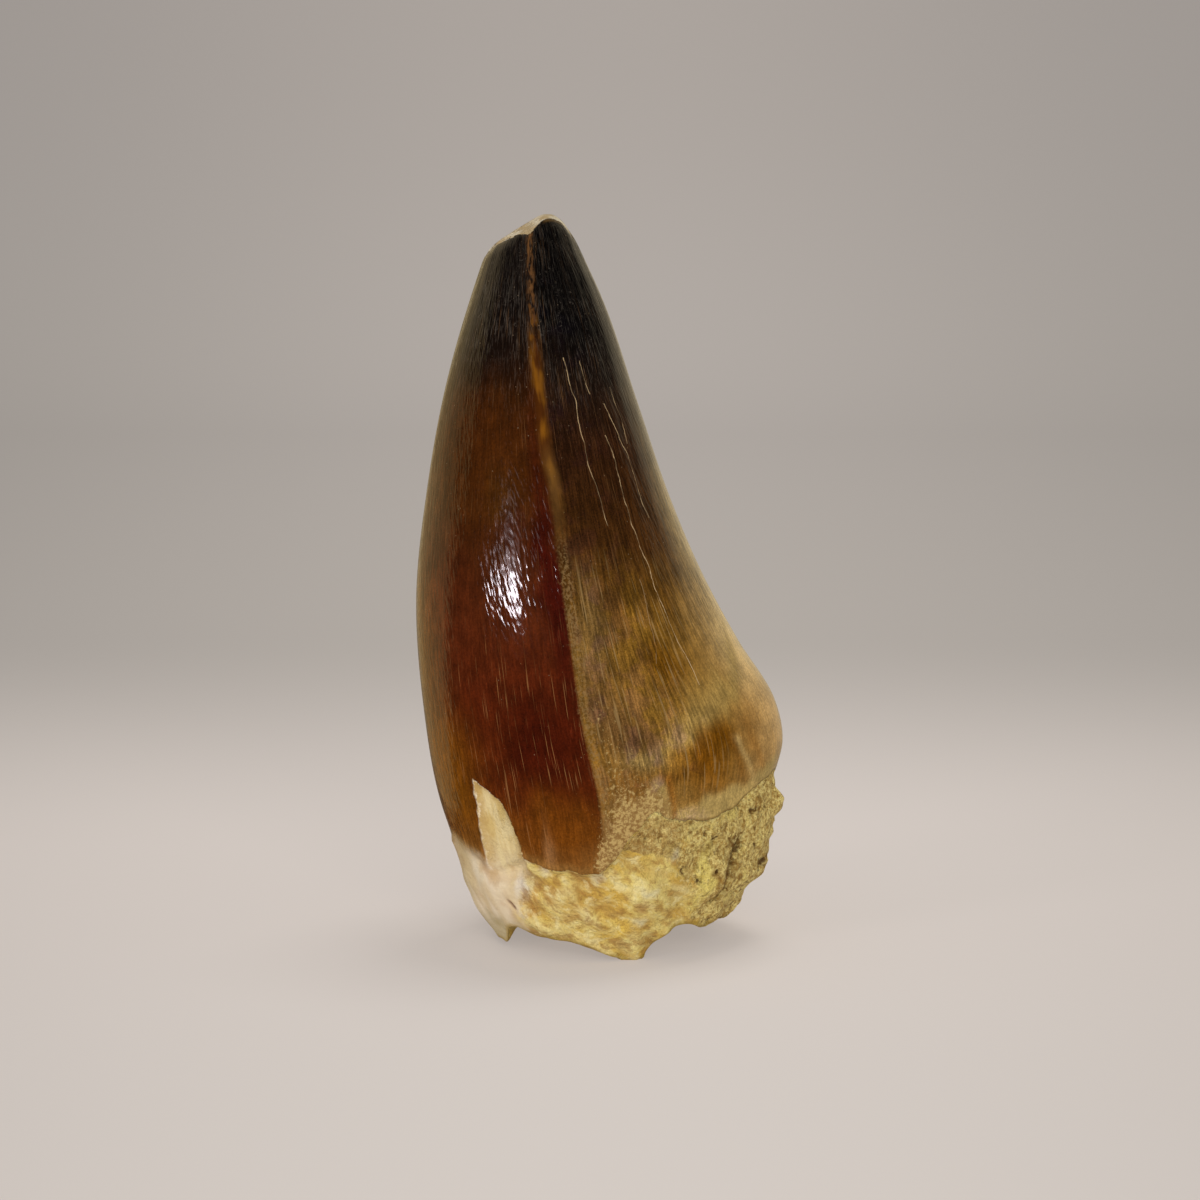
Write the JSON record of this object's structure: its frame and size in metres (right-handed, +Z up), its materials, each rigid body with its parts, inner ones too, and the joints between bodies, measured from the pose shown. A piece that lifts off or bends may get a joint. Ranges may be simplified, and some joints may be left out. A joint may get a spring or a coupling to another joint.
{
  "type": "fossil mosasaur tooth",
  "caption": "Curved, keeled reptile tooth of dark glossy enamel on a stub of pale broken root, standing upright on its root.",
  "frame": {"origin": "on the surface it stands on, under the middle of the tooth's outline", "axes": "+Z up from the root to the tip; -Y is the side where the front keel runs down the middle; +X is the side that flares at the base"},
  "size_m": [0.0306, 0.0276, 0.0605],
  "materials": {
    "fossil_tooth": "glossy enamel, matt root"
  },
  "bodies": {
    "root": {"tooth": "fossil_tooth"}
  },
  "joints": []
}
